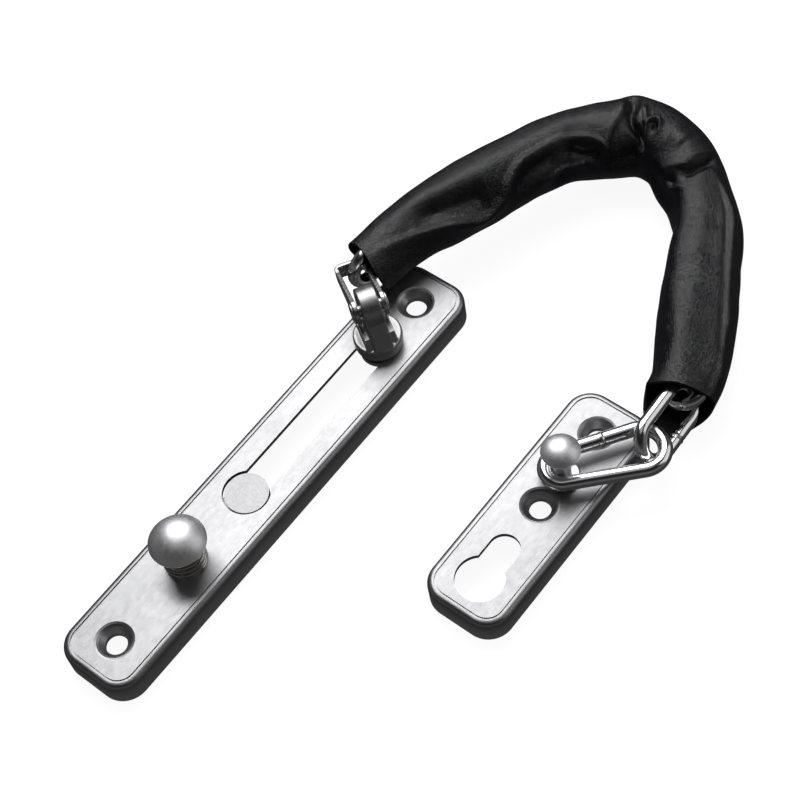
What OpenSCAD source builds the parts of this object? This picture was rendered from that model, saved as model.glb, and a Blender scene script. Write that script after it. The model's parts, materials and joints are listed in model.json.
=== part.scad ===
// Door chain guard: a slotted track plate with a spring-loaded release knob, a swivel slider,
// a welded-link chain in a leather sleeve, and a keeper plate with a mushroom post and a stow keyhole.
// Both plates lie on their backs at Z = 0, the track plate runs along Y, and the chain lies in an arch.

/* [Plates] */
// Length of the track plate
track_l = 120; // [116:1:130]
// Length of the keeper plate
keeper_l = 60; // [59:1:64]
// Width of both plates
plate_w = 20; // [19:0.5:22]
// Height of the pressed pans, back to front
plate_h = 6.4; // [6.2:0.1:6.6]
// Thickness of the pressed sheet
sheet_t = 1.2; // [1.0:0.1:1.4]
// Outside corner radius of both plates
plate_r = 5.8; // [5:0.1:6.5]
// Radius of the rolled edge around each front face
edge_r = 1.4; // [1.3:0.1:1.6]
// Distance of the pressed line from the plate's edge
line_inset = 1.5; // [1.5:0.1:2.2]

/* [Screw holes] */
// Radius of each screw hole
screw_r = 2.4; // [2:0.1:2.6]
// Radius of each dimple that takes the screw's head
dimple_r = 4.2; // [3.8:0.1:4.4]
// Depth of each dimple
dimple_h = 1.8; // [1.4:0.1:2]
// Distance between the track plate's two screws
track_screw_gap = 102; // [100:1:104]
// Distance between the keeper plate's two screws
keeper_screw_gap = 21; // [20.5:0.1:21.5]

/* [Track slot] */
// Width of the slot
slot_w = 7.2; // [7:0.1:7.6]
// Radius of the entry hole at the slot's lower end
entry_r = 5.4; // [5.2:0.1:5.6]
// Position of the entry hole along the plate
entry_y = -8.5; // [-9.5:0.1:-8]
// Position of the slot's closed end along the plate
slot_end_y = 42.4; // [42:0.1:43]

/* [Release knob] */
// Position of the knob along the plate
knob_y = -28.3; // [-30:0.1:-27]
// Radius of the knob's cap
cap_r = 6.3; // [5.8:0.1:6.8]
// Height of the cap's widest ring above the back
cap_z = 15.3; // [15:0.1:16]
// Mean radius of the knob's spring
spring_r = 4.4; // [4:0.1:4.6]
// Radius of the spring's wire
spring_wire_r = 0.45; // [0.35:0.05:0.5]
// Turns in the spring
spring_turns = 5; // [4:1:5]

/* [Slider] */
// Position of the slider along the plate at rest
slider_y = 37.8; // [37:0.1:38]
// Radius of the slider's head behind the slot
foot_r = 4.6; // [4.3:0.1:4.8]
// Radius of the swivel's round base
swivel_r = 5.6; // [5.2:0.1:6]
// Height of the bracket's pin above the back
pin_z = 16.5; // [16:0.1:17]
// Direction of the bracket, seen from the front
bracket_heading = 148; // [146:1:150]
// Angle that the bracket droops below level
bracket_droop = 13; // [11:1:14]
// Inside length of the bracket from its pin
bracket_l = 14.3; // [14:0.1:14.6]

/* [Chain] */
// Radius of the chain's wire
wire_r = 1.5; // [1.4:0.05:1.5]
// Distance from joint to joint along the chain
pitch = 15.4; // [15.2:0.1:15.6]
// Free play of each link, end to end
play = 1; // [0.9:0.1:1.1]
// Width between the centre lines of a link's two bars
link_w = 9; // [8.8:0.1:9.2]

/* [Leather sleeve] */
// Outside radius of the sleeve
sleeve_r = 8.2; // [8:0.1:8.3]
// Thickness of the leather
leather_t = 0.8; // [0.6:0.1:0.9]

/* [Keeper] */
// Position of the keeper plate's centre across the track plate
keeper_x = 53.6; // [53:0.1:54]
// Position of the keeper plate's centre along the track plate
keeper_y = 25; // [24.5:0.1:25.5]
// Distance of the post from the keeper plate's centre
post_offset = 8.2; // [8:0.1:8.4]
// Radius of the post's head
head_r = 4.25; // [4:0.05:4.5]
// Height of the head's widest ring above the back
head_z = 17.3; // [17:0.1:18]
// Radius of the round end of the stow keyhole
stow_r = 5.4; // [5:0.1:5.6]
// Half width of the narrow end of the stow keyhole
stow_neck_r = 3.5; // [3.3:0.1:3.8]

/* [Hidden] */
$fn = 64;
eps = 0.01;

// Levels of the stack that works in and behind the track plate
under_z = plate_h - sheet_t;            // underside of the front sheet
arm_t = 1;                              // blocker arm's thickness
arm_w = 8;
arm_gap = 0.2;                          // gap from the arm to the front sheet
arm_top = under_z - arm_gap;
blocker_r = entry_r - 0.5;              // raised disc that plugs the entry hole
blocker_top = plate_h - 0.3;
stem_r = 2;
stem_end_r = 1.5;
retainer_r = 2.8;
retainer_t = 0.7;
stem_end_l = arm_t + retainer_t + 0.2;  // thin end of the stem, upset behind the retainer
cap_rise = 3.4;                         // dome above the cap's widest ring
cap_edge = 0.9;                         // rolled edge below that ring

// The slider's stack, from the head behind the slot to the swivel's base
foot_t = 1.35;
foot_top = under_z - 0.2;
neck_r = slot_w / 2 - 0.35;
washer_r = 5.4;
washer_z = plate_h + 0.2;
washer_t = 1.5;
stud_r = 2;
stud_head_r = 2.7;
stud_head_t = 0.7;
swivel_z = washer_z + washer_t + 0.1;
swivel_t = 2.3;
swivel_top = swivel_z + swivel_t;
run_gap = 0.08;                         // running clearance of a turning fit
stud_head_z = swivel_z + 1.05;          // the stud's head, sunk in the swivel's base

// Lug, pin and bracket
pin_offset = 3;                         // the pin stands behind the swivel's axis
pin_r = 1.4;
lug_r = 5;
lug_t = 4.2;
shoulder_t = 7;                         // the lug is wider where it stands on the base
shoulder_top = 12.8;
strap_t = 1;
hook_gap = 1.25;                        // from the first link to the bracket's closed end
strap_gap = 5.6;                        // between the bracket's two cheeks
strap_h = 3.4;
cheek_r = 3.1;
rivet_r = 2.5;
rivet_t = 0.45;

// Chain: turn and rise of each link against the one before and against level
start_heading = 84;
turns = [0, -13, 1, -3, -35, -36, -36, -28, 4, -4, -21];
rises = [-2, -2, 0, -5, -6, -6, 0, 0, 0, 3, 4];
first_roll = 90;
roll_step = 93.5;                        // each link lies nearly square to the one before

// Keeper post and its collar
post_neck_r = 2;
collar_r = 3.8;
collar_t = 1.6;
ring_wire_r = 1.6;
ring_small_r = post_neck_r + ring_wire_r + 0.15;
ring_big_r = 5.1;
ring_play = 1.8;                         // from the last joint to the inside of the ring's wide end

function heading(i) = i == 0 ? start_heading : heading(i - 1) + turns[i];
function unit(h, rise) = [cos(h) * cos(rise), sin(h) * cos(rise), sin(rise)];
function pin_point() = [0, slider_y, pin_z] + pin_offset * unit(bracket_heading, 0);
// Centre of the first link's end, inside the bracket's closed end
function hook_point() = pin_point()
    + (bracket_l - wire_r - hook_gap) * unit(bracket_heading, -bracket_droop);
// Joint points along the chain: link i runs from joint(i) to joint(i + 1)
function joint(i) = i == 0
    ? hook_point() + (wire_r + play / 2) * unit(start_heading, rises[0])
    : joint(i - 1) + pitch * unit(heading(i - 1), rises[i - 1]);
link_count = len(turns);
post_x = keeper_x;
post_y = keeper_y + post_offset;
chain_end = joint(link_count);
ring_reach = norm([chain_end[0] - post_x, chain_end[1] - post_y]) + ring_play;
ring_heading = atan2(chain_end[1] - post_y, chain_end[0] - post_x);

// ---- Shared shapes ----

// Half section through a slab's edge: upright side, rounded shoulder of radius f
module edge_section(r, h, f) {
    square([r, h - f]);
    square([r - f, h]);
    translate([r - f, h - f]) circle(f);
}

// Block with upright round corners of radius r and a rounded top edge of radius f
module rounded_slab(l, w, h, r, f) {
    translate([-w / 2 + r, -l / 2 + r, 0]) cube([w - 2 * r, l - 2 * r, h]);
    for (a = [0, 180]) rotate([0, 0, a]) {
        translate([w / 2 - r, l / 2 - r, 0]) rotate([90, 0, 0])
            linear_extrude(l - 2 * r) edge_section(r, h, f);
        translate([-w / 2 + r, l / 2 - r, 0]) rotate([90, 0, 90])
            linear_extrude(w - 2 * r) edge_section(r, h, f);
        translate([w / 2 - r, l / 2 - r, 0]) rotate_extrude(angle = 90) edge_section(r, h, f);
        translate([-w / 2 + r, l / 2 - r, 0]) rotate([0, 0, 90]) rotate_extrude(angle = 90)
            edge_section(r, h, f);
    }
}

// Flat outline with round corners
module rounded_outline(l, w, r) {
    square([w, l - 2 * r], center = true);
    square([w - 2 * r, l], center = true);
    for (sx = [-1, 1], sy = [-1, 1]) translate([sx * (w / 2 - r), sy * (l / 2 - r)]) circle(r);
}

// Pressed pan: open at the back, with a fine pressed line around its front face
module pan(l) {
    line_w = 0.5;
    line_h = 0.3;
    difference() {
        rounded_slab(l, plate_w, plate_h, plate_r, edge_r);
        translate([0, 0, -eps])
            rounded_slab(l - 2 * sheet_t, plate_w - 2 * sheet_t, under_z + eps,
                         plate_r - sheet_t, edge_r - sheet_t);
        translate([0, 0, plate_h - line_h]) linear_extrude(1) difference() {
            rounded_outline(l - 2 * line_inset, plate_w - 2 * line_inset, plate_r - line_inset);
            rounded_outline(l - 2 * (line_inset + line_w), plate_w - 2 * (line_inset + line_w),
                            plate_r - line_inset - line_w);
        }
    }
}

// Metal pushed down behind a screw dimple, and the dimple and hole cut out of it
module dimple_metal() {
    translate([0, 0, under_z - dimple_h])
        cylinder(h = dimple_h + eps, r1 = screw_r + sheet_t, r2 = dimple_r + sheet_t);
}
module dimple_cut() {
    lip = 0.45;                         // the lip turns over in three steps
    rotate_extrude() polygon([[0, 0], [screw_r, 0], [screw_r, plate_h - dimple_h],
                              [dimple_r - 1.6 * lip, plate_h - 1.1 * lip],
                              [dimple_r - 0.6 * lip, plate_h - 0.35 * lip],
                              [dimple_r + 0.4 * lip, plate_h],
                              [dimple_r + 0.4 * lip, plate_h + 1], [0, plate_h + 1]]);
}

// Round-ended bar shape between two circles on the Y axis
module slot_outline(y1, y2, half) {
    translate([-half, y1]) square([2 * half, y2 - y1]);
    translate([0, y2]) circle(half);
}

// Wire bent around an arc that reaches half an angle to each side of +X
module wire_arc(r, wire, half) {
    rotate([0, 0, -half]) rotate_extrude(angle = 2 * half) translate([r, 0]) circle(wire);
}
module bar(a, b, wire) {
    d = b - a;
    translate(a) rotate([0, 0, atan2(d[1], d[0])]) rotate([0, 90, 0]) cylinder(h = norm(d), r = wire);
}

// ---- Track plate ----

module track_plate() color("silver") difference() {
    union() {
        pan(track_l);
        for (s = [-1, 1]) translate([0, s * track_screw_gap / 2, 0]) dimple_metal();
    }
    for (s = [-1, 1]) translate([0, s * track_screw_gap / 2, 0]) dimple_cut();
    translate([0, 0, under_z - 1]) linear_extrude(plate_h) {
        translate([0, entry_y]) circle(entry_r);
        slot_outline(entry_y, slot_end_y - slot_w / 2, slot_w / 2);
        translate([0, knob_y]) circle(stem_r + run_gap);
    }
}

// ---- Release knob, its spring and the arm that plugs the entry hole ----

module release_knob() color("lightgray") translate([0, knob_y, 0]) {
    dome_r = (cap_r * cap_r + cap_rise * cap_rise) / (2 * cap_rise);
    // dome over the widest ring
    rotate_extrude() intersection() {
        translate([0, cap_z + cap_rise - dome_r]) circle(dome_r, $fn = 128);
        translate([0, cap_z]) square([cap_r, cap_rise + 1]);
    }
    // rolled edge under it
    rotate_extrude() intersection() {
        union() {
            translate([cap_r - cap_edge, cap_z]) circle(cap_edge);
            translate([0, cap_z - cap_edge]) square([cap_r - cap_edge, cap_edge + 0.2]);
        }
        translate([0, cap_z - cap_edge]) square([cap_r, cap_edge + eps]);
    }
    translate([0, 0, arm_top]) cylinder(h = cap_z - arm_top, r = stem_r);
    translate([0, 0, arm_top - stem_end_l]) cylinder(h = stem_end_l + eps, r = stem_end_r);
}

// Points of the coil's wire: a helix with a closed turn at each end
spring_low = plate_h + spring_wire_r;
spring_high = cap_z - cap_edge - spring_wire_r;
spring_steps = 18;
spring_sides = 8;
// the share of the height reached along the wire: half as steep near both ends
flat = 0.12;
function coil_ease(u) = u < flat ? u / 2 : u > 1 - flat ? 1 - (1 - u) / 2
    : flat / 2 + (u - flat) * (1 - flat) / (1 - 2 * flat);
function coil_point(k) = let (u = k / (spring_turns * spring_steps), a = 360 * spring_turns * u)
    [spring_r * cos(a), spring_r * sin(a), spring_low + (spring_high - spring_low) * coil_ease(u)];
function coil_ring(k) = let (c = coil_point(k), a = 360 * k / spring_steps)
    [for (j = [0 : spring_sides - 1]) let (b = 360 * j / spring_sides)
        c + spring_wire_r * [cos(a) * cos(b), sin(a) * cos(b), sin(b)]];

// Skin of a tube through rings of equal point counts, closed at both ends
module loft(rings) {
    n = len(rings[0]);
    m = len(rings);
    polyhedron(
        points = [for (r = rings, p = r) p],
        faces = concat(
            [[for (j = [0 : n - 1]) j]],
            [for (i = [0 : m - 2], j = [0 : n - 1]) let (a = i * n + j, b = i * n + (j + 1) % n)
                [a, a + n, b + n, b]],
            [[for (j = [n - 1 : -1 : 0]) (m - 1) * n + j]]));
}

module knob_spring() color("gray") translate([0, knob_y, 0])
    loft([for (k = [0 : spring_turns * spring_steps]) coil_ring(k)]);

module blocker_arm() color("darkgray") difference() {
    union() {
        translate([0, 0, arm_top - arm_t]) linear_extrude(arm_t) {
            translate([0, knob_y]) circle(arm_w / 2);
            translate([-arm_w / 2, knob_y]) square([arm_w, entry_y - knob_y]);
            translate([0, entry_y]) circle(blocker_r);
        }
        translate([0, entry_y, arm_top - eps]) cylinder(h = blocker_top - arm_top + eps, r = blocker_r);
    }
    translate([0, knob_y, 0]) cylinder(h = plate_h, r = stem_end_r);
}

module knob_retainer() color("gray") translate([0, knob_y, arm_top - arm_t - retainer_t]) difference() {
    cylinder(h = retainer_t, r = retainer_r);
    translate([0, 0, -eps]) cylinder(h = retainer_t + 2 * eps, r = stem_end_r);
}

// ---- Slider: foot and washer slide in the slot, the tongue turns on the foot's stud ----

module slider_foot() color("gray") translate([0, slider_y, 0]) {
    translate([0, 0, foot_top - foot_t]) cylinder(h = foot_t, r = foot_r);
    translate([0, 0, foot_top - eps]) cylinder(h = washer_z - foot_top + eps, r = neck_r);
    translate([0, 0, washer_z - eps]) cylinder(h = stud_head_z - washer_z + eps, r = stud_r);
    translate([0, 0, stud_head_z]) cylinder(h = stud_head_t, r = stud_head_r);
}

module slider_washer() color("silver") translate([0, slider_y, washer_z]) difference() {
    rotate_extrude() {
        square([washer_r - washer_t / 2, washer_t]);
        translate([washer_r - washer_t / 2, washer_t / 2]) circle(washer_t / 2);
    }
    translate([0, 0, -eps]) cylinder(h = washer_t + 2 * eps, r = stud_r);
}

module swivel_tongue() color("silver") difference() {
    base_edge = 0.5;
    lug_foot = [-5, 4.9];               // ends of the lug where it stands on the base
    union() {
        translate([0, slider_y, swivel_z]) rotate_extrude() {
            square([swivel_r, swivel_t - base_edge]);
            square([swivel_r - base_edge, swivel_t]);
            translate([swivel_r - base_edge, swivel_t - base_edge]) circle(base_edge);
        }
        // lug: a plate with a round top about the pin, standing across the base
        translate([0, slider_y, 0]) rotate([0, 0, bracket_heading]) rotate([90, 0, 0])
            linear_extrude(lug_t, center = true) {
                translate([pin_offset, pin_z]) circle(lug_r);
                polygon([[lug_foot[0], swivel_top - eps], [lug_foot[1], swivel_top - eps],
                         [pin_offset + lug_r, pin_z], [pin_offset, pin_z + 1],
                         [pin_offset - lug_r, pin_z]]);
            }
        translate([0, slider_y, 0]) rotate([0, 0, bracket_heading]) rotate([90, 0, 0])
            linear_extrude(shoulder_t, center = true)
                polygon([[lug_foot[0] + 1, swivel_top - eps], [lug_foot[1] - 1, swivel_top - eps],
                         [pin_offset, shoulder_top], [lug_foot[0] + 2.4, shoulder_top]]);
    }
    // hollow for the stud and its head
    translate([0, slider_y, swivel_z - eps])
        cylinder(h = stud_head_z - swivel_z, r = stud_r + run_gap);
    translate([0, slider_y, stud_head_z - 0.1])
        cylinder(h = stud_head_t + 0.2, r = stud_head_r + run_gap);
    translate(pin_point()) rotate([0, 0, bracket_heading]) rotate([90, 0, 0])
        cylinder(h = 2 * lug_t, r = pin_r + run_gap, center = true);
}

// Moves a shape drawn along +X from the pin to the bracket's place
module at_bracket() {
    translate(pin_point()) rotate([0, 0, bracket_heading]) rotate([0, bracket_droop, 0]) children();
}

module swivel_bracket() color("silver") at_bracket() {
    outer = strap_gap + 2 * strap_t;
    bend = 1.6;                         // outside radius of the two folds
    difference() {
        union() {
            linear_extrude(strap_h, center = true) {
                translate([bracket_l / 2, -outer / 2]) square([bracket_l / 2 + strap_t - bend, outer]);
                translate([bracket_l / 2, -outer / 2 + bend])
                    square([bracket_l / 2 + strap_t, outer - 2 * bend]);
                for (s = [-1, 1])
                    translate([bracket_l + strap_t - bend, s * (outer / 2 - bend)]) circle(bend);
            }
            // cheeks: round about the pin and narrowing towards the closed end
            rotate([90, 0, 0]) linear_extrude(outer, center = true) {
                circle(cheek_r);
                polygon([[0, -cheek_r], [bracket_l - bend, -strap_h / 2],
                         [bracket_l - bend, strap_h / 2], [0, cheek_r]]);
            }
        }
        translate([-2 * cheek_r, -strap_gap / 2, -2 * cheek_r])
            cube([bracket_l + 2 * cheek_r, strap_gap, 4 * cheek_r]);
        rotate([90, 0, 0]) cylinder(h = outer + 2, r = pin_r, center = true);
    }
}

module bracket_pin() color("gainsboro") at_bracket() rotate([90, 0, 0]) {
    span = strap_gap + 2 * strap_t;
    cylinder(h = span + 2 * eps, r = pin_r, center = true);
    for (s = [0, 1]) mirror([0, 0, s]) translate([0, 0, span / 2]) rotate_extrude() {
        square([rivet_r, rivet_t * 0.6]);
        square([rivet_r - rivet_t * 0.4, rivet_t]);
        translate([rivet_r - rivet_t * 0.4, rivet_t * 0.6]) circle(rivet_t * 0.4);
    }
}

// ---- Chain ----

// One welded link along +X, from one joint to the next
module link_body() {
    inner_r = link_w / 2 - wire_r;
    first = -play / 2 + inner_r;
    last = pitch + play / 2 - inner_r;
    for (s = [-1, 1]) bar([first, s * link_w / 2, 0], [last, s * link_w / 2, 0], wire_r);
    translate([first, 0, 0]) rotate([0, 0, 180]) wire_arc(link_w / 2, wire_r, 90);
    translate([last, 0, 0]) wire_arc(link_w / 2, wire_r, 90);
}

module link(i) color("lightgray") translate(joint(i)) rotate([0, 0, heading(i)])
    rotate([0, -rises[i], 0]) rotate([first_roll + i * roll_step, 0, 0]) link_body();

// ---- Leather sleeve: one soft tube around the chain, open at both ends ----

sleeve_sides = 14;
sleeve_first = 0.36;                    // the sleeve's ends, counted in links from the bracket
sleeve_last = 10.12;
mouth_taper = [1.2, 0.4];               // how much narrower it is at each end
mouth_slant = [0.36, 0.5];              // how far the top lip and the lower lip reach out, in radii
// Stations along the sleeve, counted in links
sleeve_stations = concat([sleeve_first], [for (k = [1 : 19]) 0.5 + k / 2], [sleeve_last]);
function station_point(u) = let (i = floor(u), f = u - i) joint(i) * (1 - f) + joint(i + 1) * f;
function station_heading(u) = let (i = floor(u), f = u - i)
    f == 0 && i > 0 ? (heading(i - 1) + heading(i)) / 2 : heading(i);
function station_r(u) = sleeve_r - mouth_taper[0] * max(0, 1 - (u - sleeve_first))
    - mouth_taper[1] * max(0, 1 - (sleeve_last - u));
function lip(u, b) = u == sleeve_first ? -mouth_slant[0] * sin(b)
    : u == sleeve_last ? -mouth_slant[1] * sin(b) : 0;
function sleeve_ring(u, shrink) = let (h = station_heading(u), r = station_r(u) - shrink)
    [for (j = [0 : sleeve_sides - 1]) let (b = 360 * j / sleeve_sides)
        station_point(u) + r * ([-sin(h) * cos(b), cos(h) * cos(b), sin(b)] + lip(u, b) * unit(h, 0))];
// Tube wall through an outer and an inner set of rings
module tube(outer, inner) {
    n = len(outer[0]);
    m = len(outer);
    all = concat(outer, inner);
    polyhedron(
        points = [for (r = all, p = r) p],
        faces = concat(
            [for (i = [0 : m - 2], j = [0 : n - 1]) let (a = i * n + j, b = i * n + (j + 1) % n)
                [a, a + n, b + n, b]],
            [for (i = [0 : m - 2], j = [0 : n - 1])
                let (a = (m + i) * n + j, b = (m + i) * n + (j + 1) % n) [a, b, b + n, a + n]],
            [for (j = [0 : n - 1]) let (k = (j + 1) % n) [j, k, m * n + k, m * n + j]],
            [for (j = [0 : n - 1]) let (k = (j + 1) % n)
                [(m - 1) * n + j, (2 * m - 1) * n + j, (2 * m - 1) * n + k, (m - 1) * n + k]]));
}

module leather_sleeve() color([0.08, 0.08, 0.09])
    tube([for (u = sleeve_stations) sleeve_ring(u, 0)],
         [for (u = sleeve_stations) sleeve_ring(u, leather_t)]);

// ---- Keeper ----

// Pear-shaped ring: a small end around the post, a wide end for the last link
module post_link() color("lightgray") translate([post_x, post_y, chain_end[2]])
    rotate([0, 0, ring_heading]) {
        reach = ring_reach - (ring_big_r - ring_wire_r);
        slant = asin((ring_big_r - ring_small_r) / reach);
        run_in = 0.05;                  // the bars run this far into the two bends
        for (s = [-1, 1]) {
            side = [-sin(slant), s * cos(slant), 0];
            along = [cos(slant), s * sin(slant), 0];
            bar(ring_small_r * side - run_in * along, [reach, 0, 0] + ring_big_r * side + run_in * along,
                ring_wire_r + 0.02);
        }
        rotate([0, 0, 180]) wire_arc(ring_small_r, ring_wire_r, 90 - slant);
        translate([reach, 0, 0]) wire_arc(ring_big_r, ring_wire_r, 90 + slant);
    }

module keeper_plate() color("silver") translate([keeper_x, keeper_y, 0]) difference() {
    stow_big_y = -21;
    stow_small_y = -12.6;
    union() {
        pan(keeper_l);
        for (y = [0, keeper_screw_gap]) translate([0, y, 0]) dimple_metal();
    }
    for (y = [0, keeper_screw_gap]) translate([0, y, 0]) dimple_cut();
    translate([0, 0, under_z - 1]) linear_extrude(plate_h) {
        translate([0, stow_big_y]) circle(stow_r);
        slot_outline(stow_big_y, stow_small_y, stow_neck_r);
        translate([0, post_offset]) circle(post_neck_r);
    }
}

module keeper_post() color("lightgray") translate([post_x, post_y, 0]) {
    rise = 2;                           // dome above the head's widest ring
    edge = 0.7;
    edge_in = 0.35;
    taper = 1.6;
    foot = 0.9;                         // riveted end behind the plate
    dome_r = (head_r * head_r + rise * rise) / (2 * rise);
    rotate_extrude() intersection() {
        translate([0, head_z + rise - dome_r]) circle(dome_r, $fn = 128);
        translate([0, head_z]) square([head_r, rise + 1]);
    }
    // the head's underside tapers into the neck
    translate([0, 0, head_z - edge]) cylinder(h = edge + eps, r1 = head_r - edge_in, r2 = head_r);
    translate([0, 0, head_z - edge - taper])
        cylinder(h = taper + eps, r1 = post_neck_r, r2 = head_r - edge_in);
    translate([0, 0, under_z]) cylinder(h = head_z - under_z, r = post_neck_r);
    translate([0, 0, under_z - foot]) cylinder(h = foot, r = post_neck_r + 1);
}

module post_collar() color("silver") translate([post_x, post_y, plate_h]) difference() {
    edge = 0.4;
    rotate_extrude() {
        square([collar_r, collar_t - edge]);
        square([collar_r - edge, collar_t]);
        translate([collar_r - edge, collar_t - edge]) circle(edge);
    }
    translate([0, 0, -eps]) cylinder(h = collar_t + 2 * eps, r = post_neck_r);
}

track_plate();
release_knob();
knob_spring();
blocker_arm();
knob_retainer();
slider_foot();
slider_washer();
swivel_tongue();
swivel_bracket();
bracket_pin();
link(0);  // link_01
link(1);  // link_02
link(2);  // link_03
link(3);  // link_04
link(4);  // link_05
link(5);  // link_06
link(6);  // link_07
link(7);  // link_08
link(8);  // link_09
link(9);  // link_10
link(10);  // link_11
leather_sleeve();
post_link();
keeper_plate();
keeper_post();
post_collar();
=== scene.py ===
import bpy
import json
import math
import numpy as np
from mathutils import Matrix, Vector


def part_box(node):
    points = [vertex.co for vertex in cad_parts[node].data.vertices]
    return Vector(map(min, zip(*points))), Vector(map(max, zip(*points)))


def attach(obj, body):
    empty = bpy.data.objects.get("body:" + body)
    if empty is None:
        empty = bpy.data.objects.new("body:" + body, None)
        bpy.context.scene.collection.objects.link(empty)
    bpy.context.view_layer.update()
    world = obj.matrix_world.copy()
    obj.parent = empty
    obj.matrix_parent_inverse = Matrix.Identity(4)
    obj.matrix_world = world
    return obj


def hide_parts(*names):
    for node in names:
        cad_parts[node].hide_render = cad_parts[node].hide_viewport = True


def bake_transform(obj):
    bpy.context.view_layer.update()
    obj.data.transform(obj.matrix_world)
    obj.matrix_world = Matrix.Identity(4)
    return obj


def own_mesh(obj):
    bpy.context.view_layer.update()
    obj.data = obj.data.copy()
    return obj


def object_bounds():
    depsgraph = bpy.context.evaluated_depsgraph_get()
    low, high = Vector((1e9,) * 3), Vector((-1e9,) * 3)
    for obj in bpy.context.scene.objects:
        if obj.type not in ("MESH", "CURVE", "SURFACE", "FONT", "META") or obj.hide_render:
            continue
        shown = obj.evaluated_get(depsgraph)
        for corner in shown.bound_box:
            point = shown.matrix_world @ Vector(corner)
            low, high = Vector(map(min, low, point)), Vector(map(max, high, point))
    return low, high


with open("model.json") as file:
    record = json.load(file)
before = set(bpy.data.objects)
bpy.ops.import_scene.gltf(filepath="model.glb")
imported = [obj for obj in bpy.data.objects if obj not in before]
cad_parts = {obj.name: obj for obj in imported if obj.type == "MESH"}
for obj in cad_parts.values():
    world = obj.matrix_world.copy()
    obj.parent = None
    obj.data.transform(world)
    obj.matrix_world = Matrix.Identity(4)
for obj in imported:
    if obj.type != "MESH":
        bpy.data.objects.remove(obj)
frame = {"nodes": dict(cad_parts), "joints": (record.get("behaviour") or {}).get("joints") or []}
CAD_LO, CAD_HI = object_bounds()
MM = 0.001
FULL_TURN = 2 * math.pi
PLATE_HEIGHT = 6.4 * MM
JOINTS = {j["name"]: j for j in frame["joints"]}
rng = np.random.default_rng(7)


def box(node):
    lo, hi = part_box(node)
    return np.array(lo, float), np.array(hi, float)


def joint_place(name):
    return np.array(JOINTS[name]["pos_m"], float)


def cad_points(node):
    return np.array([p.co for p in frame["nodes"][node].data.vertices], float)


def unit(v):
    return v / np.linalg.norm(v)


# ---------------------------------------------------------------- materials
def material(name):
    m = bpy.data.materials.new(name)
    m.use_nodes = True
    nt = m.node_tree
    return m, nt, nt.nodes["Principled BSDF"]


def add(nt, kind, **values):
    """New shader node; each value sets the input of that name, or else the property."""
    n = nt.nodes.new(kind)
    for key, value in values.items():
        if key in n.inputs:
            n.inputs[key].default_value = value
        else:
            setattr(n, key, value)
    return n


def ramp(nt, fac, stops):
    """Colour ramp over (position, grey or colour) stops."""
    r = nt.nodes.new("ShaderNodeValToRGB")
    elements = r.color_ramp.elements
    while len(elements) < len(stops):
        elements.new(0.5)
    for element, (place, value) in zip(elements, stops):
        element.position = place
        element.color = (*value, 1) if isinstance(value, tuple) else (value, value, value, 1)
    nt.links.new(fac, r.inputs[0])
    return r.outputs[0]


def coords(nt, scale=(1, 1, 1)):
    t = nt.nodes.new("ShaderNodeTexCoord")
    m = add(nt, "ShaderNodeMapping")
    m.inputs["Scale"].default_value = scale
    nt.links.new(t.outputs["Object"], m.inputs["Vector"])
    return m.outputs[0]


def noise(nt, vec, scale, detail, rough):
    n = add(nt, "ShaderNodeTexNoise", Scale=scale, Detail=detail, Roughness=rough)
    nt.links.new(vec, n.inputs["Vector"])
    return n.outputs[0]


def bump(nt, height, strength, distance, normal=None):
    b = add(nt, "ShaderNodeBump", Strength=strength, Distance=distance)
    nt.links.new(height, b.inputs["Height"])
    if normal is not None:
        nt.links.new(normal, b.inputs["Normal"])
    return b.outputs[0]


def multiplied(nt, a, b, factor):
    mix = add(nt, "ShaderNodeMix", data_type="RGBA", blend_type="MULTIPLY")
    mix.inputs["Factor"].default_value = factor
    nt.links.new(a, mix.inputs["A"])
    nt.links.new(b, mix.inputs["B"])
    return mix.outputs["Result"]


def satin_plate():
    """Pressed stainless sheet, brushed along its length."""
    m, nt, p = material("satin_plate")
    p.inputs["Metallic"].default_value = 1
    long_grain = noise(nt, coords(nt, (1, 0.04, 1)), 4200, 5, 0.7)
    speckle = noise(nt, coords(nt, (1, 0.6, 1)), 900, 4, 0.65)
    cloud = noise(nt, coords(nt, (1, 0.5, 1)), 70, 3, 0.5)
    steel = ramp(nt, cloud, [(0.3, (0.40, 0.40, 0.41)), (0.7, (0.48, 0.48, 0.49))])
    brushed = multiplied(nt, steel, ramp(nt, long_grain, [(0.3, 0.80), (0.7, 1.0)]), 0.7)
    # painted reflection: the walls of the pans and of the dimples are painted brighter towards the foot,
    # standing in for the pale floor reflected there
    t = nt.nodes.new("ShaderNodeTexCoord")
    sep = nt.nodes.new("ShaderNodeSeparateXYZ")
    nt.links.new(t.outputs["Object"], sep.inputs[0])
    lift = add(nt, "ShaderNodeMapRange")
    lift.inputs["From Max"].default_value = PLATE_HEIGHT
    nt.links.new(sep.outputs["Z"], lift.inputs["Value"])
    painted_foot_light = ramp(nt, lift.outputs[0], [(0.0, 2.2), (0.3, 2.0), (0.6, 1.6), (0.85, 1.1), (0.95, 1.0)])
    nt.links.new(multiplied(nt, brushed, painted_foot_light, 1.0), p.inputs["Base Color"])
    nt.links.new(ramp(nt, speckle, [(0.25, 0.34), (0.75, 0.44)]), p.inputs["Roughness"])
    p.inputs["Anisotropic"].default_value = 0.35
    n1 = bump(nt, long_grain, 0.14, 0.00004)
    nt.links.new(bump(nt, speckle, 0.10, 0.00005, n1), p.inputs["Normal"])
    return m


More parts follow.
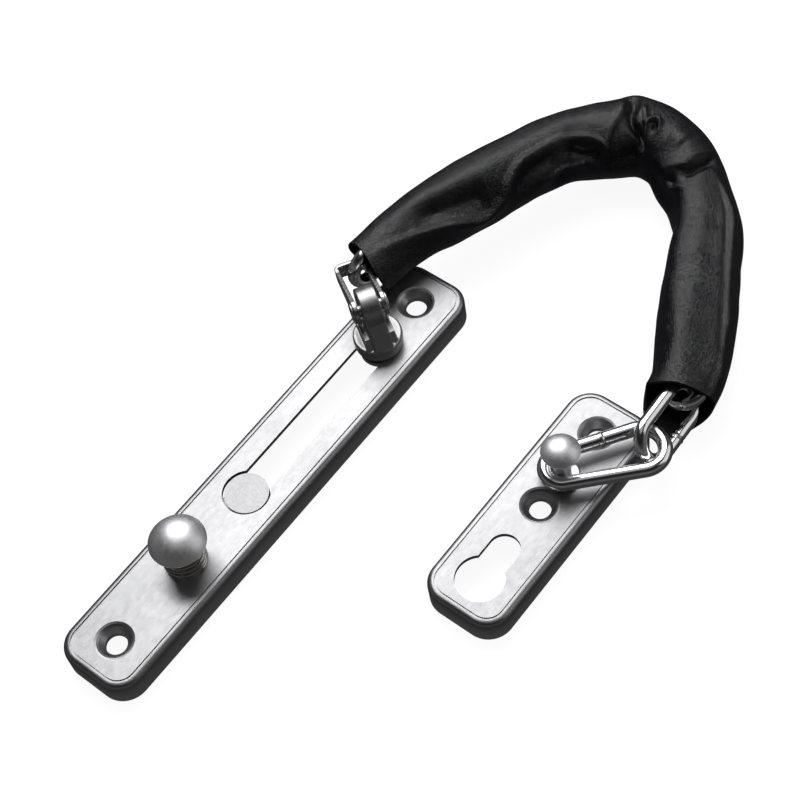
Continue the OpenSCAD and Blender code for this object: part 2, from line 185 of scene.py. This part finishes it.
def turned(name, base, rough, grain=0.06):
    """Plain bright metal with a fine grain and a faint change of tone."""
    m, nt, p = material(name)
    p.inputs["Metallic"].default_value = 1
    place = coords(nt)
    fine = noise(nt, place, 1600, 4, 0.6)
    tone = noise(nt, place, 160, 3, 0.5)
    darker = tuple(b * 0.93 for b in base)
    nt.links.new(ramp(nt, tone, [(0.3, darker), (0.7, base)]), p.inputs["Base Color"])
    nt.links.new(ramp(nt, fine, [(0.2, rough * 0.8), (0.8, rough * 1.2)]), p.inputs["Roughness"])
    nt.links.new(bump(nt, fine, grain, 0.00003), p.inputs["Normal"])
    return m


def leather(name, gloss):
    """Black grained leather: pebbled cells, fine lines round the sleeve, and soft creases."""
    m, nt, p = material(name)
    place = coords(nt)
    warp = add(nt, "ShaderNodeVectorMath", operation="MULTIPLY_ADD")
    nt.links.new(noise(nt, place, 260, 2, 0.5), warp.inputs[0])
    warp.inputs[1].default_value = (0.0009, 0.0009, 0.0009)
    nt.links.new(place, warp.inputs[2])
    cell = add(nt, "ShaderNodeTexVoronoi", feature="DISTANCE_TO_EDGE")
    cell.inputs["Scale"].default_value = 2000
    nt.links.new(warp.outputs[0], cell.inputs["Vector"])
    cells = ramp(nt, cell.outputs["Distance"], [(0.0, 0.0), (0.16, 0.8), (0.5, 1.0)])
    uv = add(nt, "ShaderNodeUVMap", uv_map="sleeve_mm")
    hatch_map = add(nt, "ShaderNodeMapping")
    hatch_map.inputs["Scale"].default_value = (2.8, 0.6, 1)
    nt.links.new(uv.outputs[0], hatch_map.inputs["Vector"])
    hatch = noise(nt, hatch_map.outputs[0], 1.0, 3, 0.6)
    fine = noise(nt, place, 2600, 3, 0.6)
    crease = noise(nt, place, 190, 5, 0.6)
    nt.links.new(ramp(nt, cells, [(0.0, (0.0015, 0.0015, 0.003)), (1.0, (0.003, 0.003, 0.005))]),
                 p.inputs["Base Color"])
    roughness = add(nt, "ShaderNodeMix", data_type="FLOAT")
    nt.links.new(noise(nt, place, 60, 3, 0.5), roughness.inputs["Factor"])
    roughness.inputs["A"].default_value = gloss - 0.06
    roughness.inputs["B"].default_value = gloss + 0.08
    nt.links.new(roughness.outputs["Result"], p.inputs["Roughness"])
    p.inputs["Specular IOR Level"].default_value = 0.65
    n1 = bump(nt, crease, 0.14, 0.00025)
    n2 = bump(nt, hatch, 0.8, 0.00018, n1)
    n3 = bump(nt, cells, 0.8, 0.00007, n2)
    nt.links.new(bump(nt, fine, 0.2, 0.00003, n3), p.inputs["Normal"])
    return m


MAT = {
    "plate": satin_plate(),
    "turned": turned("turned_steel", (0.96, 0.96, 0.98), 0.46),
    "polished": turned("polished_steel", (0.58, 0.58, 0.59), 0.26, 0.12),
    "cast": turned("cast_steel", (0.42, 0.42, 0.42), 0.36, 0.4),
    "wire": turned("chain_wire", (0.90, 0.90, 0.90), 0.15, 0.05),
    "weld": turned("weld_metal", (0.50, 0.49, 0.48), 0.30, 0.35),
    "inner": turned("inner_steel", (0.32, 0.32, 0.33), 0.36, 0.3),
    "spring": turned("spring_wire", (0.62, 0.60, 0.57), 0.18, 0.05),
    "leather": leather("sleeve_leather", 0.22),
    "suede": leather("leather_flesh_side", 0.8),
}
NODE_MAT = {
    "track_plate": "plate", "keeper_plate": "plate", "release_knob": "turned", "keeper_post": "turned",
    "post_collar": "polished", "slider_foot": "polished", "slider_washer": "cast",
    "swivel_tongue": "polished", "swivel_bracket": "polished", "bracket_pin": "polished",
    "blocker_arm": "inner", "knob_retainer": "inner", "knob_spring": "spring", "post_link": "wire",
    "leather_sleeve": "leather",
}
for name, ob in frame["nodes"].items():
    ob.data.materials.clear()
    ob.data.materials.append(MAT[NODE_MAT.get(name, "wire")])


# ---------------------------------------------------------------- mesh helpers
def mesh_object(name, verts, faces, mats, face_mat=None):
    me = bpy.data.meshes.new(name)
    me.from_pydata([tuple(map(float, v)) for v in verts], [], faces)
    for key in mats:
        me.materials.append(MAT[key])
    me.polygons.foreach_set("use_smooth", [True] * len(faces))
    if face_mat is not None:
        me.polygons.foreach_set("material_index", face_mat)
    me.update()
    ob = bpy.data.objects.new(name, me)
    bpy.context.scene.collection.objects.link(ob)
    return ob


def grid_faces(rows, cols, wrap_rows=False):
    """Faces of a tube of rows rings with cols points each."""
    out = []
    for i in range(rows if wrap_rows else rows - 1):
        for j in range(cols):
            a, b = i * cols + j, i * cols + (j + 1) % cols
            c, d = (i + 1) % rows * cols + (j + 1) % cols, (i + 1) % rows * cols + j
            out.append((a, b, c, d))
    return out


def smooth_spline(points, t):
    """Catmull-Rom point at t, counted in points."""
    p = np.asarray(points, float)
    if p.ndim == 1:
        p = p[:, None]
    n = len(p)
    i = min(max(int(math.floor(t)), 0), n - 2)
    f = t - i
    a = p[i - 1] if i > 0 else 2 * p[0] - p[1]
    b, c = p[i], p[i + 1]
    d = p[i + 2] if i + 2 < n else 2 * p[-1] - p[-2]
    square = (2 * a - 5 * b + 4 * c - d) * f * f
    cube = (-a + 3 * b - 3 * c + d) * f ** 3
    return 0.5 * (2 * b + (c - a) * f + square + cube)


def sweep(name, path, radius, mats, closed=False, sides=20, marks=None):
    """Round wire along a path; radius may vary; marks are path indices given the second material."""
    path = np.asarray(path, float)
    n = len(path)
    tan = np.roll(path, -1, 0) - np.roll(path, 1, 0)
    if not closed:
        tan[0], tan[-1] = path[1] - path[0], path[-1] - path[-2]
    tan /= np.linalg.norm(tan, axis=1)[:, None]
    up = unit(np.cross(tan[0], [0.3, 0.2, 0.9]))
    ups = []
    for k in range(n):
        up = unit(up - tan[k] * (up @ tan[k]))
        ups.append(up.copy())
    ups = np.array(ups)
    if closed:   # spread the twist that is left when the frame comes round
        last = unit(ups[-1] - tan[0] * (ups[-1] @ tan[0]))
        twist = math.atan2(np.cross(ups[0], last) @ tan[0], ups[0] @ last)
        for k in range(n):
            a = -twist * k / n
            ups[k] = ups[k] * math.cos(a) + np.cross(tan[k], ups[k]) * math.sin(a)
    side = np.cross(tan, ups)
    r = np.broadcast_to(np.asarray(radius, float), (n,))
    ang = np.linspace(0, FULL_TURN, sides, endpoint=False)
    ring = ups[:, None, :] * np.cos(ang)[None, :, None] + side[:, None, :] * np.sin(ang)[None, :, None]
    v = (path[:, None, :] + r[:, None, None] * ring).reshape(-1, 3)
    f = grid_faces(n, sides, closed)
    face_mat = None
    if marks is not None:
        face_mat = [1 if (k // sides) in marks else 0 for k in range(len(f))]
    if not closed:
        v = np.vstack([v, path[0], path[-1]])
        first_end, last_end = n * sides, n * sides + 1
        for j in range(sides):
            k = (j + 1) % sides
            f.append((first_end, k, j))
            f.append((last_end, (n - 1) * sides + j, (n - 1) * sides + k))
    return mesh_object(name, v, f, mats, face_mat)


# ---------------------------------------------------------------- welded chain links
def axes_of(node):
    """Centre, long axis, width axis, length, width and thickness of a CAD link."""
    v = cad_points(node)
    c = (v.max(0) + v.min(0)) / 2
    _, vec = np.linalg.eigh(np.cov((v - v.mean(0)).T))
    long_ax, wide_ax = vec[:, 2], vec[:, 1]
    s = (v - c) @ long_ax
    w = (v - c) @ wide_ax
    c = c + long_ax * (s.max() + s.min()) / 2 + wide_ax * (w.max() + w.min()) / 2
    thin = np.cross(long_ax, wide_ax)
    t = (v - c) @ thin
    c = c + thin * (t.max() + t.min()) / 2
    return c, long_ax, wide_ax, np.ptp(s), np.ptp(w), np.ptp(t)


def oval(half_len, r1, r2, step=0.2 * MM):
    """Closed outline of two half rings joined by straight bars, from -half_len to half_len."""
    c1, c2 = -half_len + r1, half_len - r2
    slant = math.asin((r2 - r1) / (c2 - c1))

    def arc(c, r, start, turn):
        n = max(12, int(math.pi * r / step))
        angles = [start + turn * k / n for k in range(n + 1)]
        return [(c + r * math.cos(a), r * math.sin(a)) for a in angles]

    m = max(8, int((c2 - c1) / step))

    def bar(p, q):
        return [(p[0] + (q[0] - p[0]) * k / m, p[1] + (q[1] - p[1]) * k / m) for k in range(1, m)]

    left = arc(c1, r1, math.pi / 2 + slant, math.pi - 2 * slant)
    right = arc(c2, r2, -(math.pi / 2 + slant), math.pi + 2 * slant)
    return np.array(left + bar(left[-1], right[0]) + right + bar(right[-1], left[0]))


def welded_ring(name, centre, long_ax, wide_ax, outline, wire, weld_at, bead=0.10 * MM):
    """Wire ring with the low bead of a butt weld, and a shallow undercut each side of it."""
    path = centre + outline[:, :1] * long_ax + outline[:, 1:] * wide_ax
    d = np.linalg.norm(outline - np.array(weld_at), axis=1)
    arc = np.r_[0, np.cumsum(np.linalg.norm(np.diff(path, axis=0), axis=1))]
    s = arc - arc[int(d.argmin())]
    undercut = 0.05 * MM * np.exp(-((np.abs(s) - 0.6 * MM) / (0.2 * MM)) ** 2)
    r = wire + bead * np.exp(-(s / (0.28 * MM)) ** 2) - undercut
    r = r + 0.003 * MM * np.sin(s / MM * 2.3 + 1.1)
    marks = set(np.nonzero(np.abs(s) < 0.3 * MM)[0].tolist())
    return sweep(name, path, r, ["wire", "weld"], closed=True, sides=22, marks=marks)


links = sorted(n for n in frame["nodes"] if n.startswith("link_"))
for k, node in enumerate(links):
    c, long_ax, wide_ax, full, width, thick = axes_of(node)
    wire = thick / 2
    bar_at = width / 2 - wire
    weld_side = 1 if k % 2 else -1
    ring = oval(full / 2 - wire, bar_at, bar_at)
    ob = welded_ring(node + "_wire", c, long_ax, wide_ax, ring, wire, (0.6 * MM, weld_side * bar_at))
    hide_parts(node)
    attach(ob, node + "_body")

# the pear-shaped ring on the keeper's post
lo, hi = box("post_link")
ring_z, ring_wire = (lo[2] + hi[2]) / 2, (hi[2] - lo[2]) / 2
lo, hi = box("keeper_post")
post = (lo + hi) / 2
post[2] = ring_z
chain_end = joint_place("ring_swing")
long_ax = unit(np.array([chain_end[0] - post[0], chain_end[1] - post[1], 0.0]))
wide_ax = np.array([-long_ax[1], long_ax[0], 0.0])
v = cad_points("post_link")
s, w = (v - post) @ long_ax, (v - post) @ wide_ax
small_r = -s.min() - ring_wire
big_r = w.max() - ring_wire
half = (s.max() - s.min()) / 2 - ring_wire
mid = post + long_ax * (s.max() + s.min()) / 2
pear = oval(half, small_r, big_r)
ob = welded_ring("post_ring_wire", mid, long_ax, wide_ax, pear, ring_wire, (0.5 * MM, big_r), 0.12 * MM)
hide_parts("post_link")
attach(ob, "ring")


# ---------------------------------------------------------------- swivel and bracket, with softened edges
def softened(node, name, voxel, rounds, mat, body):
    """Copy of a CAD node with its sharp edges worn round."""
    src = frame["nodes"][node]
    me = src.data.copy()
    me.name = name
    ob = bpy.data.objects.new(name, me)
    ob.matrix_world = src.matrix_world.copy()
    bpy.context.scene.collection.objects.link(ob)
    even = ob.modifiers.new("even", "REMESH")
    even.mode = "VOXEL"
    even.voxel_size = voxel
    soft = ob.modifiers.new("soft", "SMOOTH")
    soft.factor = 0.5
    soft.iterations = rounds
    depsgraph = bpy.context.evaluated_depsgraph_get()
    out = bpy.data.meshes.new_from_object(ob.evaluated_get(depsgraph))
    ob.modifiers.clear()
    ob.data = out
    out.polygons.foreach_set("use_smooth", [True] * len(out.polygons))
    out.materials.clear()
    out.materials.append(MAT[mat])
    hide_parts(node)
    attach(ob, body)


softened("swivel_tongue", "swivel_tongue_soft", 0.16 * MM, 7, "cast", "swivel")
softened("swivel_bracket", "swivel_bracket_soft", 0.13 * MM, 3, "polished", "bracket")
softened("bracket_pin", "bracket_pin_soft", 0.12 * MM, 3, "polished", "bracket")

# ---------------------------------------------------------------- knob spring
COIL_TURNS, STEPS_PER_TURN = 5, 48
lo, hi = box("knob_spring")
knob_lo, knob_hi = box("release_knob")
axis = (knob_lo + knob_hi) / 2
wire = 0.45 * MM
coil_r = (hi[0] - lo[0]) / 2 - wire
z0, z1 = lo[2] + wire, hi[2] - wire
pts = []
for k in range(COIL_TURNS * STEPS_PER_TURN + 1):
    along = k / (COIL_TURNS * STEPS_PER_TURN)
    # the end coils lie closed, at half the pitch
    if along < 0.12:
        rise = along / 2
    elif along > 0.88:
        rise = 1 - (1 - along) / 2
    else:
        rise = 0.06 + (along - 0.12) * 0.88 / 0.76
    a = FULL_TURN * COIL_TURNS * along
    pts.append((axis[0] + coil_r * math.cos(a), axis[1] + coil_r * math.sin(a), z0 + (z1 - z0) * rise))
spring = sweep("knob_spring_coil", pts, wire, ["spring"], sides=12)
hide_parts("knob_spring")
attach(spring, "track")
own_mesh(spring)

# ---------------------------------------------------------------- leather sleeve
chain = [joint_place(node + "_swing") for node in links] + [chain_end]
LINK_PITCH = 15.4                    # mm from one link's hinge to the next
TUBE_R = 8                           # nominal radius of the sleeve, in mm
FIRST, LAST = 0.28, 10.12            # ends of the sleeve's top, counted in links
# at each half link: sideways offset of the tube from the chain, and its half width, in mm
OFFSET = [-0.5, -0.7, -0.7, -0.5, -0.1, -0.4, -0.8, -1.5, -2.2, -1.4, 0.9, 0.5,
          -1.9, -2.5, -2.1, -1.6, -0.8, -0.8, -0.8, -0.8, -1.3, -1.5, -1.5]
RADIUS = [6.8, 7.0, 7.3, 8.1, 8.4, 8.4, 8.1, 8.2, 8.5, 9.0, 9.2, 8.6,
          8.6, 7.9, 7.8, 8.2, 8.5, 8.8, 8.7, 8.2, 7.6, 7.5, 7.5]
LEATHER = 0.8 * MM
# how far each mouth reaches past its top, in mm, at every 45 degrees from the outer side over the top
LIP_FIRST = [0.3, 0.8, 2.0, 3.2, 2.6, 0.0, -2.0, -1.2]
LIP_LAST = [-2.4, -1.0, 0.6, 1.6, 0.1, 4.6, 6.0, 0.6]


def spine(u):
    """Centre, tangent, outer side and top side of the sleeve at u, counted in links."""
    def at(x):
        x = min(max(x, 0.0), 11.0)
        c = smooth_spline(chain, x)
        d = smooth_spline(chain, min(x + 0.05, 11)) - smooth_spline(chain, max(x - 0.05, 0))
        left = unit(np.array([-d[1], d[0], 0.0]))
        return c + left * float(smooth_spline(OFFSET, 2 * x)[0]) * MM
    t = unit(at(u + 0.06) - at(u - 0.06))
    left = unit(np.array([-t[1], t[0], 0.0]))
    top = np.cross(t, left)
    return at(u), t, left, -top if top[2] < 0 else top


# folds in the tube, each a line of (link, angle) points: the angle runs from 0 on the outer side over 90
# on top; height in mm (negative is a hollow), then the half width on each side of the line, in mm
FOLDS = [
    # the long crease that winds over the first three links, and the hollow above it
    ([(0.45, 110), (0.95, 135), (1.5, 150), (1.95, 170), (2.3, 160), (2.5, 140), (2.8, 120), (3.1, 115),
      (3.6, 110)], 1.4, 0.75, 2),
    ([(1, 110), (1.7, 130), (2.2, 140)], -2.2, 3.2, 3.2),
    ([(2.6, 160), (2.95, 140), (3.4, 135)], -0.9, 2.2, 2.2),
    # the rounded crest along the top
    ([(0.5, 80), (1.4, 90), (2.6, 100), (3.6, 90), (4.5, 85)], 0.5, 2.6, 2.6),
    # dents on the inner side before the bend
    ([(3.6, 135), (4.25, 150)], -1.8, 2.3, 2.3),
    ([(3.5, 115), (4, 120), (4.3, 135), (4.4, 155)], 0.8, 0.8, 1.8),
    ([(3.7, 130), (3.95, 140), (4.2, 140)], 0.7, 0.5, 0.9),
    ([(3.2, 180), (3.9, 170)], -1.2, 2, 2),
    ([(3.1, 170), (3.4, 160), (3.7, 165), (4, 160)], 0.9, 0.6, 1.5),
    ([(4.35, 170), (4.9, 150)], -1.2, 1.8, 1.8),
    # the pinch at the crown, its left edge and the loop beside it
    ([(4.85, 40), (4.85, 70), (4.8, 90), (4.8, 110), (4.95, 125), (5.25, 140)], -2.3, 0.9, 1.1),
    ([(4.8, 60), (4.65, 90), (4.45, 115), (4.35, 145)], 0.9, 0.7, 2.4),
    ([(5.25, 140), (5.1, 120), (5.05, 105), (5.1, 95), (5.2, 90), (5.3, 105)], 1.1, 0.5, 0.6),
    ([(5.2, 110), (5.2, 100)], -0.7, 0.5, 0.5),
    ([(4.95, 75), (5, 95), (5, 110)], 0.7, 0.6, 0.8),
    ([(4.8, -10), (4.85, 20), (4.9, 45)], 0.8, 1.6, 1.6),
    ([(5.45, 95), (5.7, 85)], 0.8, 2.4, 2.4),
    # the fold that runs over the bend after the crown
    ([(5.95, 125), (6.1, 100), (6.05, 90), (6, 80), (5.95, 60), (5.95, 40)], 1.2, 0.6, 1.3),
    ([(6.3, 110), (6.25, 90), (6.2, 70), (6.1, 50)], -1.6, 0.9, 1.2),
    ([(6.25, 150), (6.45, 130), (6.5, 115)], 0.7, 0.5, 0.9),
    ([(5.6, 165), (6.2, 170), (6.6, 155)], -1.6, 2.6, 2.6),
    ([(6.1, 140), (6.3, 130)], -0.9, 1, 1),
    # the long lap of the seam down the last four links, and the soft crest beside it
    ([(6.3, 60), (6.8, 50), (7.7, 45), (8.4, 45),
      (8.85, 40), (9.45, 40), (9.85, 30), (10.3, 25)], 0.8, 0.35, 1.6),
    ([(6.5, 60), (7.7, 55), (8.8, 50), (10, 40)], -0.5, 0.5, 0.8),
    ([(6.4, 115), (7.2, 135), (8.3, 130), (9.2, 115), (9.9, 120)], 0.8, 2.6, 2.6),
    ([(6.5, 70), (7.5, 80), (8.5, 75), (9.5, 70), (10, 65)], -0.8, 3, 3),
]
COLS = 140
ROWS_PER_LINK = 50


def periodic(values, ang):
    """Smooth closed curve through values spaced evenly round the tube."""
    n = len(values)
    t = (ang / FULL_TURN * n) % n
    ext = [values[-1]] + list(values) + [values[0], values[1]]
    return np.array([float(smooth_spline(ext, 1 + x)[0]) for x in t])


def fold_heights(u, ang):
    """Height in mm that the folds add at each (u, ang) of a grid."""
    h = np.zeros((len(u), len(ang)))
    deg = np.degrees(ang)[None, :]
    for line, height, w_right, w_left in FOLDS:
        best = np.full(h.shape, 1e9)
        side = np.zeros(h.shape)
        along = np.zeros(h.shape)
        line = [tuple(smooth_spline(line, t)) for t in np.linspace(0, len(line) - 1, 3 * len(line) - 2)]
        total = len(line) - 1
        for k in range(total):
            (u0, a0), (u1, a1) = line[k], line[k + 1]
            x = (u[:, None] - u0) * LINK_PITCH + 0 * deg
            y = np.radians((deg - a0 + 180) % 360 - 180) * TUBE_R + 0 * x
            ex, ey = (u1 - u0) * LINK_PITCH, math.radians(a1 - a0) * TUBE_R
            g = np.clip((x * ex + y * ey) / (ex * ex + ey * ey), 0, 1)
            d = np.hypot(x - g * ex, y - g * ey)
            near = d < best
            best = np.where(near, d, best)
            side = np.where(near, ex * y - ey * x, side)
            along = np.where(near, (k + g) / total, along)
        w = np.where(side > 0, w_left, w_right)
        taper = np.clip(np.minimum(along, 1 - along) * 5 + 0.1, 0, 1) ** 0.6
        h += height * taper * np.exp(-(best / w) ** 2)
    return h


# faint uneven waves in the leather: cycles per link, cycles round the tube, phase, height in mm
WAVES = [(rng.uniform(0.5, 2.6), int(rng.integers(1, 6)), rng.uniform(0, 6.28), rng.uniform(0.01, 0.03))
         for _ in range(12)]
# height in mm of the sleeve's underside at each link: it is flattened there, to ride over the track
# and further on to rest on the floor
REST = [6.8, 6.8, 6.8, 6.8, 6.4, 3.0, 0.3, 0.3, 0.3, 0.3, 0.3, 0.3]
REST_SOFT = 0.5 * MM
MOUTH_REACH = 0.9                    # how far into the sleeve the mouths' slant reaches, in links


def sleeve_rows(us, shrink):
    """Rings of points round the sleeve at each u, drawn in by shrink."""
    ang = np.linspace(0, FULL_TURN, COLS, endpoint=False)
    first, last = periodic(LIP_FIRST, ang) * MM, periodic(LIP_LAST, ang) * MM
    heights = fold_heights(us, ang) * MM
    out = []
    for u, fold in zip(us, heights):
        c, t, left, up = spine(u)
        r = float(smooth_spline(RADIUS, 2 * u)[0]) * MM + fold
        for per_link, around, phase, high in WAVES:
            r = r + high * MM * np.sin(FULL_TURN * per_link * u + around * ang + phase)
        r = r - shrink
        row = c + r[:, None] * (np.cos(ang)[:, None] * left + np.sin(ang)[:, None] * up)
        near_first = max(0.0, 1 - (u - FIRST) / MOUTH_REACH)
        near_last = max(0.0, 1 - (LAST - u) / MOUTH_REACH)
        row = row + (last * near_last ** 1.5 - first * near_first ** 1.5)[:, None] * t
        low = float(np.interp(u, range(len(REST)), REST)) * MM + shrink
        deep = low - row[:, 2] + REST_SOFT
        settled = low + REST_SOFT * np.exp(-np.maximum(deep, 0) / REST_SOFT)
        row[:, 2] = np.where(deep > 0, settled, row[:, 2])
        out.append(row)
    return np.array(out)


def grid_normals(g):
    """Unit normals at the inner rows of a grid of rings."""
    du = g[2:] - g[:-2]
    da = np.roll(g, -1, 1)[1:-1] - np.roll(g, 1, 1)[1:-1]
    nn = np.cross(da, du)
    return nn / np.linalg.norm(nn, axis=2)[:, :, None]


cuts = [FIRST] + [k + 0.5 for k in range(1, 10)] + [LAST]
SPARE = 0.015                        # one row more at each end, for the normals
for k, (start, end) in enumerate(zip(cuts[:-1], cuts[1:])):
    us = np.linspace(start, end, max(20, int((end - start) * ROWS_PER_LINK)))
    n = len(us)
    wide = np.r_[us[0] - SPARE, us, us[-1] + SPARE]
    outer_w, inner_w = sleeve_rows(wide, 0), sleeve_rows(wide, LEATHER)
    n_out, n_in = grid_normals(outer_w), grid_normals(inner_w)
    outer, inner = outer_w[1:-1], inner_w[1:-1]
    if ((outer - outer.mean(1)[:, None]) * n_out).sum() < 0:
        n_out, n_in = -n_out, -n_in
    verts = np.vstack([outer.reshape(-1, 3), inner.reshape(-1, 3)])
    norm = np.vstack([n_out.reshape(-1, 3), -n_in.reshape(-1, 3)])
    outside = grid_faces(n, COLS)
    inside = [tuple(q + n * COLS for q in f[::-1]) for f in outside]
    cut_edges = []
    for row in (0, n - 1):
        for j in range(COLS):
            a, b = row * COLS + j, row * COLS + (j + 1) % COLS
            c, d = b + n * COLS, a + n * COLS
            cut_edges.append((a, d, c, b) if row == 0 else (a, b, c, d))
    faces = outside + inside + cut_edges
    mats = [0] * len(outside) + [1] * (len(inside) + len(cut_edges))
    ob = mesh_object("sleeve_%02d" % (k + 1), verts, faces, ["leather", "suede"], mats)
    along_mm = np.repeat(us * LINK_PITCH, COLS)
    around_mm = np.tile(np.linspace(0, FULL_TURN, COLS, endpoint=False) * TUBE_R, n)
    uv = ob.data.uv_layers.new(name="sleeve_mm")
    idx = np.array([lp.vertex_index for lp in ob.data.loops]) % (n * COLS)
    uv.data.foreach_set("uv", np.stack([along_mm[idx], around_mm[idx]], 1).ravel())
    ob.data.normals_split_custom_set_from_vertices([tuple(map(float, q)) for q in norm])
    if k == 0:
        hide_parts("leather_sleeve")
    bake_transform(ob)

# ---------------------------------------------------------------- floor, light, camera
FLOOR_HALF = 6
floor_z = min(CAD_LO[2], 0.0) - 0.05 * MM
corners = [(x * FLOOR_HALF, y * FLOOR_HALF, floor_z) for x, y in ((-1, -1), (1, -1), (1, 1), (-1, 1))]
me = bpy.data.meshes.new("floor")
me.from_pydata(corners, [], [(0, 1, 2, 3)])
floor = bpy.data.objects.new("floor", me)
bpy.context.scene.collection.objects.link(floor)
m, nt, p = material("floor_paper")
p.inputs["Base Color"].default_value = (0.25, 0.25, 0.25, 1)
p.inputs["Roughness"].default_value = 0.9
p.inputs["Specular IOR Level"].default_value = 0.1
p.inputs["Emission Color"].default_value = (1, 1, 1, 1)
p.inputs["Emission Strength"].default_value = 0.93
me.materials.append(m)
floor.visible_glossy = False


def area_light(name, loc, target, size, power):
    """Square soft light at loc that faces target."""
    d = bpy.data.lights.new(name, "AREA")
    d.shape = "RECTANGLE"
    d.size = d.size_y = size
    d.energy = power
    o = bpy.data.objects.new(name, d)
    o.location = loc
    o.rotation_mode = "QUATERNION"
    o.rotation_quaternion = (Vector(target) - Vector(loc)).to_track_quat("-Z", "Y")
    bpy.context.scene.collection.objects.link(o)


LIGHT_TARGET = (0.01, 0.03, 0.0)
area_light("key_softbox", (-0.31, 0.31, 0.54), LIGHT_TARGET, 0.62, 3.9)
area_light("fill_panel", (0.50, 0.50, 0.45), LIGHT_TARGET, 0.6, 0.8)

# a dark studio with a faint band at the horizon and a small pale ceiling
world = bpy.data.worlds.new("studio")
bpy.context.scene.world = world
world.use_nodes = True
nt = world.node_tree
bg = nt.nodes["Background"]
tc = nt.nodes.new("ShaderNodeTexCoord")
sep = nt.nodes.new("ShaderNodeSeparateXYZ")
nt.links.new(tc.outputs["Generated"], sep.inputs[0])
height = add(nt, "ShaderNodeMapRange")
height.inputs["From Min"].default_value = -1
height.inputs["From Max"].default_value = 1
nt.links.new(sep.outputs["Z"], height.inputs["Value"])
STUDIO = [(0.0, 0.05), (0.2, 0.04), (0.4, 0.04), (0.6, 0.12),
          (0.75, 0.04), (0.85, 0.01), (0.97, 0.02), (0.99, 0.4)]
nt.links.new(ramp(nt, height.outputs[0], STUDIO), bg.inputs["Color"])
bg.inputs["Strength"].default_value = 1.0

# the camera looks at CAM_AIM from CAM_DISTANCE away
CAM_AZIMUTH, CAM_ELEVATION, CAM_ROLL = math.radians(48.5), math.radians(57.8), math.radians(-12.1)
CAM_AIM = np.array([10.1, 31.3, 0.0]) * MM
CAM_DISTANCE = 422 * MM
cam = bpy.data.cameras.new("camera")
cam.sensor_width = 36
cam.lens = 85
cam.clip_start, cam.clip_end = 0.01, 10
cam_ob = bpy.data.objects.new("camera", cam)
bpy.context.scene.collection.objects.link(cam_ob)
ahead = np.array([-math.sin(CAM_AZIMUTH) * math.cos(CAM_ELEVATION),
                  math.cos(CAM_AZIMUTH) * math.cos(CAM_ELEVATION),
                  -math.sin(CAM_ELEVATION)])
level = np.array([math.cos(CAM_AZIMUTH), math.sin(CAM_AZIMUTH), 0.0])
square = np.cross(level, ahead)
right = math.cos(CAM_ROLL) * level + math.sin(CAM_ROLL) * square
up = -math.sin(CAM_ROLL) * level + math.cos(CAM_ROLL) * square
pos = CAM_AIM - ahead * CAM_DISTANCE
cam_ob.matrix_world = Matrix((
    (right[0], up[0], -ahead[0], pos[0]),
    (right[1], up[1], -ahead[1], pos[1]),
    (right[2], up[2], -ahead[2], pos[2]),
    (0, 0, 0, 1)))
bpy.context.scene.camera = cam_ob
bpy.context.scene.view_settings.view_transform = "Standard"
bpy.context.scene.view_settings.look = "None"
